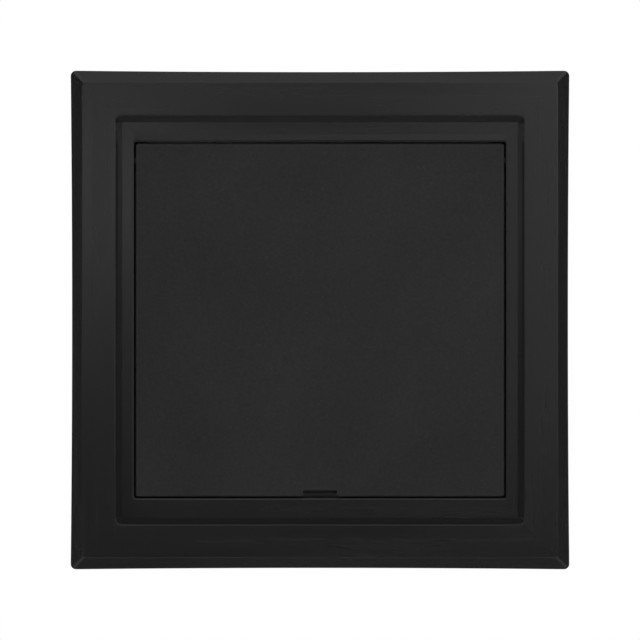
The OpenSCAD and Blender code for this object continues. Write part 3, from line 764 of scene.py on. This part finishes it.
    def make_nut(self, depth: float) -> bmesh.types.BMesh:
        """Makes the hexagon nut with its corners chamfered on both faces.

        Args:
            depth: Thickness of the nut.

        Returns:
            The nut with its front at the origin.
        """
        corner_r = self.nut_w / math.sqrt(3)
        flat_r = self.nut_w / 2 - self.nut_washer_inset
        bore_r = self.thread_r + self.nut_bore_gap
        past, past_drop, sink = 0.1 * MM, 0.06 * MM, self.nut_sink
        drop = (corner_r - flat_r) * math.tan(math.radians(self.nut_chamfer_deg)) + past_drop
        hexagon = bmesh.new()
        bmesh.ops.create_cone(hexagon, cap_ends=True, segments=6, radius1=corner_r, radius2=corner_r,
                              depth=depth)
        turn = Matrix.Rotation(math.radians(90), 3, "X") @ Matrix.Rotation(math.radians(30), 3, "Z")
        bmesh.ops.rotate(hexagon, cent=ORIGIN, matrix=turn, verts=hexagon.verts)
        bmesh.ops.translate(hexagon, vec=(0.0, depth / 2, 0.0), verts=hexagon.verts)
        blank = turned([(0.0, 0.0), (flat_r, 0.0), (corner_r + past, drop), (corner_r + past, depth - drop),
                        (flat_r, depth), (0.0, depth)], self.nut_steps)
        bore = turned([(0.0, -sink), (bore_r + 2 * sink, -sink), (bore_r, sink), (bore_r, depth - sink),
                       (bore_r + 2 * sink, depth + sink), (0.0, depth + sink)])
        return cut(cut(hexagon, blank, Cut.COMMON), bore, Cut.AWAY)


@dataclass
class SwingClamp:
    """A clamp whose screw swings a toothed dog out behind the board and draws it tight."""

    level: Level
    side: Side

    def build(self, hardware: dict[str, bmesh.types.BMesh]) -> None:
        """Dresses the dog and sets its screw, clip and nut.

        Args:
            hardware: The shapes of the three, each with its front at the origin.
        """
        place = f"{self.level.value}_{self.side.word}"
        dress(f"clamp_dog_{place}", NYLON)
        for part, body in (("screw", "clamp_screw"), ("clip", "clamp_screw"), ("nut", "clamp_dog")):
            node = f"clamp_{part}_{place}"
            low, high = (Vector(corner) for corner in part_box(node))
            shape = hardware[part].copy()
            front = ((low.x + high.x) / 2, low.y, (low.z + high.z) / 2)
            bmesh.ops.translate(shape, vec=front, verts=shape.verts)
            add_piece(f"{part}_{place}", shape, ZINC, f"{body}_{place}", [node])


@dataclass(frozen=True)
class Lamp:
    """A soft square lamp that looks at the panel's middle."""

    name: str
    place: tuple[float, float, float]
    side: float
    watts: float


class Facing(Enum):
    """How a studio card stands, with its turn about X in degrees."""

    FRONT = 90.0
    LEVEL = 0.0


@dataclass(frozen=True)
class Card:
    """A studio card that only reflections see, with its brightness, where 1 is white."""

    name: str
    facing: Facing
    place: tuple[float, float, float]
    size: tuple[float, float]
    light: float


@dataclass
class Studio:
    """Plain white studio: camera square on, soft lamps low in front, at the sides and behind, and cards.

    The cards stand round the camera, where the glossy plastic mirrors them. The two glows and
    card_under_front are brighter than white because the steep steps see them only by way of the recess floor.
    """

    camera_y: float = -1.5
    view_w: float = 0.3084
    sensor_mm: float = 36.0
    clip: tuple[float, float] = (0.05, 20.0)
    floor_z: float = -0.30
    floor_fade: tuple[float, float] = (0.45, 1.1)
    floor_white: float = 0.55
    floor_half: float = 6.0
    floor_colour: str = "#ececec"
    ambient: float = 0.3
    surround: float = 0.006
    surround_r: float = 4.0
    surround_back: float = 1.5
    lamps: tuple[Lamp, ...] = (
        Lamp("lamp_low", (0.0, -0.75, -0.27), 0.4, 3.5),
        Lamp("lamp_left", (-1.3, -0.25, -0.15), 0.5, 5.5),
        Lamp("lamp_right", (1.3, -0.25, -0.15), 0.5, 7.0),
        Lamp("lamp_back", (0.5, 1.3, 0.6), 1.0, 12.0),
    )
    cards: tuple[Card, ...] = (
        Card("card_left", Facing.FRONT, (-0.19, -0.8, 0.1), (0.14, 0.12), 1.45),
        Card("card_left_low", Facing.FRONT, (-0.19, -0.8, -0.03), (0.14, 0.14), 0.2),
        Card("card_left_high", Facing.FRONT, (-0.19, -0.8, 0.28), (0.14, 0.24), 0.19),
        Card("card_left_out", Facing.FRONT, (-0.38, -0.8, 0.1), (0.24, 0.12), 0.31),
        Card("card_left_near", Facing.FRONT, (-0.68, -0.79, 0.0), (0.52, 0.4), 0.4),
        Card("card_left_glow", Facing.FRONT, (-1.5, -0.79, 0.21), (0.8, 0.3), 4.0),
        Card("card_left_far", Facing.FRONT, (-1.15, -0.8, 0.4), (1.3, 0.6), 0.2),
        Card("card_left_far_mid", Facing.FRONT, (-1.15, -0.8, -0.2), (1.3, 0.6), 0.25),
        Card("card_left_far_low", Facing.FRONT, (-1.15, -0.8, -0.85), (1.3, 0.7), 0.9),
        Card("card_middle", Facing.FRONT, (0.0, -0.8, 0.28), (0.24, 0.24), 0.5),
        Card("card_right", Facing.FRONT, (0.19, -0.8, 0.22), (0.14, 0.36), 0.72),
        Card("card_right_low", Facing.FRONT, (0.19, -0.8, -0.03), (0.14, 0.14), 0.61),
        Card("card_right_out", Facing.FRONT, (0.38, -0.8, 0.28), (0.24, 0.24), 1.48),
        Card("card_right_near", Facing.FRONT, (0.68, -0.79, 0.0), (0.52, 0.4), 1.0),
        Card("card_right_glow", Facing.FRONT, (1.5, -0.79, 0.21), (0.8, 0.3), 3.5),
        Card("card_right_far", Facing.FRONT, (1.15, -0.8, 0.4), (1.3, 0.6), 0.45),
        Card("card_right_far_mid", Facing.FRONT, (1.15, -0.8, -0.2), (1.3, 0.6), 0.1),
        Card("card_right_far_low", Facing.FRONT, (1.15, -0.8, -0.85), (1.3, 0.7), 0.9),
        Card("card_high", Facing.FRONT, (0.0, -0.8, 0.66), (1.6, 0.36), 0.9),
        Card("card_top", Facing.LEVEL, (0.0, -0.2, 0.85), (1.6, 0.3), 0.85),
        Card("card_top_front", Facing.LEVEL, (0.0, -0.55, 0.85), (1.6, 0.4), 0.55),
        Card("card_under", Facing.LEVEL, (0.0, -0.2, -0.85), (1.6, 0.3), 0.15),
        Card("card_under_front", Facing.LEVEL, (0.0, -0.55, -0.85), (1.6, 0.4), 1.35),
    )

    def build(self) -> None:
        """Sets the camera, the world, the lamps, the cards and the floor."""
        self.make_camera()
        self.make_world()
        for lamp in self.lamps:
            self.make_lamp(lamp)
        for card in self.cards:
            self.make_card(card)
        self.make_surround()
        self.make_floor()
        bpy.context.scene.view_settings.view_transform = "Standard"

    def make_camera(self) -> None:
        """Makes a long-lens camera in front of the panel's middle."""
        data = bpy.data.cameras.new("camera")
        data.sensor_width = self.sensor_mm
        data.lens = self.sensor_mm * -self.camera_y / self.view_w
        data.clip_start, data.clip_end = self.clip
        camera = bpy.data.objects.new("camera", data)
        camera.location = (0.0, self.camera_y, 0.0)
        camera.rotation_euler = (math.radians(90), 0.0, 0.0)
        bpy.context.scene.collection.objects.link(camera)
        bpy.context.scene.camera = camera

    def make_world(self) -> None:
        """Makes a world that is white to the eye and in reflections, and soft grey as a light."""
        world = bpy.data.worlds.new("white_studio")
        bpy.context.scene.world = world
        world.use_nodes = True
        tree = world.node_tree
        tree.nodes.clear()
        rays = add_node(tree, "ShaderNodeLightPath")
        seen = add_node(tree, "ShaderNodeMath", {"operation": "MAXIMUM"}, {
            0: rays.outputs["Is Camera Ray"], 1: rays.outputs["Is Glossy Ray"]})
        shown = add_node(tree, "ShaderNodeMath", {"operation": "MAXIMUM"}, {
            0: seen.outputs[0], 1: rays.outputs["Is Transmission Ray"]})
        soft = add_node(tree, "ShaderNodeBackground", inputs={
            "Color": linear(WHITE), "Strength": self.ambient})
        white = add_node(tree, "ShaderNodeBackground", inputs={"Color": linear(WHITE), "Strength": 1.0})
        mixed = add_node(tree, "ShaderNodeMixShader", inputs={
            0: shown.outputs[0], 1: soft.outputs[0], 2: white.outputs[0]})
        add_node(tree, "ShaderNodeOutputWorld", inputs={"Surface": mixed.outputs[0]})

    def make_lamp(self, lamp: Lamp) -> None:
        """Makes a lamp that lights surfaces and leaves the reflections to the cards.

        Args:
            lamp: The lamp's place, size and power.
        """
        data = bpy.data.lights.new(lamp.name, "AREA")
        data.shape, data.size, data.energy = "SQUARE", lamp.side, lamp.watts
        made = bpy.data.objects.new(lamp.name, data)
        made.location = lamp.place
        made.rotation_euler = (-Vector(lamp.place)).to_track_quat("-Z", "Y").to_euler()
        made.visible_camera = made.visible_glossy = False
        bpy.context.scene.collection.objects.link(made)

    def make_stage(self, name: str, shape: bmesh.types.BMesh,
                   material: bpy.types.Material) -> bpy.types.Object:
        """Makes a staged object about the origin from a shape, which it frees.

        Args:
            name: The object's name.
            shape: Its shape.
            material: Its material.

        Returns:
            The staged object.
        """
        mesh = bpy.data.meshes.new(name)
        shape.to_mesh(mesh)
        shape.free()
        mesh.materials.append(material)
        staged = bpy.data.objects.new(name, mesh)
        bpy.context.scene.collection.objects.link(staged)
        return staged

    def make_shining(self, name: str, shape: bmesh.types.BMesh, light: float) -> bpy.types.Object:
        """Makes a staged object that shines in reflections alone.

        Args:
            name: The object's name.
            shape: Its shape.
            light: Its brightness, with 1 as white.

        Returns:
            The staged object.
        """
        material = bpy.data.materials.new(name)
        material.use_nodes = True
        tree = material.node_tree
        tree.nodes.clear()
        shine = add_node(tree, "ShaderNodeEmission", inputs={"Color": linear(WHITE), "Strength": light})
        add_node(tree, "ShaderNodeOutputMaterial", inputs={"Surface": shine.outputs[0]})
        staged = self.make_stage(name, shape, material)
        staged.visible_camera = staged.visible_diffuse = staged.visible_shadow = False
        staged.visible_transmission = staged.visible_volume_scatter = False
        return staged

    def make_card(self, card: Card) -> None:
        """Makes one card in its place.

        Args:
            card: The card's place, size and brightness.
        """
        shape = bmesh.new()
        bmesh.ops.create_grid(shape, x_segments=1, y_segments=1, size=0.5)
        bmesh.ops.scale(shape, vec=(card.size[0], card.size[1], 1.0), verts=shape.verts)
        sheet = self.make_shining(card.name, shape, card.light)
        sheet.location = card.place
        sheet.rotation_euler = (math.radians(card.facing.value), 0.0, 0.0)

    def make_surround(self) -> None:
        """Makes the dim front and sides of the studio, behind the cards and the camera."""
        shape = bmesh.new()
        bmesh.ops.create_uvsphere(shape, u_segments=32, v_segments=16, radius=self.surround_r)
        bmesh.ops.bisect_plane(shape, geom=shape.verts[:] + shape.edges[:] + shape.faces[:],
                               plane_co=(0.0, self.surround_back, 0.0), plane_no=ALONG_Y, clear_outer=True)
        self.make_shining("studio_front", shape, self.surround)

    def make_floor(self) -> None:
        """Makes a pale floor that takes the panel's soft shadow and fades to the white background."""
        material = bpy.data.materials.new("pale_floor")
        material.use_nodes = True
        tree = material.node_tree
        tree.nodes.clear()
        place = add_node(tree, "ShaderNodeTexCoord")
        away = add_node(tree, "ShaderNodeVectorMath", {"operation": "LENGTH"}, {0: place.outputs["Object"]})
        fade = add_node(tree, "ShaderNodeMapRange", {"interpolation_type": "SMOOTHSTEP"}, {
            "Value": away.outputs["Value"], "From Min": self.floor_fade[0], "From Max": self.floor_fade[1],
            "To Min": self.floor_white})
        rays = add_node(tree, "ShaderNodeLightPath")
        shown = add_node(tree, "ShaderNodeMath", {"operation": "MULTIPLY"}, {
            0: fade.outputs[0], 1: rays.outputs["Is Camera Ray"]})
        pale = add_node(tree, "ShaderNodeBsdfDiffuse", inputs={"Color": linear(self.floor_colour)})
        white = add_node(tree, "ShaderNodeEmission", inputs={"Color": linear(WHITE), "Strength": 1.0})
        mixed = add_node(tree, "ShaderNodeMixShader", inputs={
            0: shown.outputs[0], 1: pale.outputs[0], 2: white.outputs[0]})
        add_node(tree, "ShaderNodeOutputMaterial", inputs={"Surface": mixed.outputs[0]})
        shape = bmesh.new()
        bmesh.ops.create_grid(shape, x_segments=1, y_segments=1, size=self.floor_half)
        floor = self.make_stage("floor", shape, material)
        floor.location = (0.0, 0.0, self.floor_z)
        floor.visible_glossy = False


def main() -> None:
    """Builds and dresses the panel's sub-assemblies in order, then the studio."""
    logging.basicConfig(level=logging.INFO, format="%(name)s: %(message)s")
    FrameMoulding().build()
    DoorLeaf().build()
    DoorSeal().build()
    hardware = ClampHardware().build()
    for side in Side:
        HingePin(side).build()
        MagnetCatch(side).build()
        for level in Level:
            SwingClamp(level, side).build(hardware)
    for shape in hardware.values():
        shape.free()
    Studio().build()


if __name__ == "__main__":
    main()
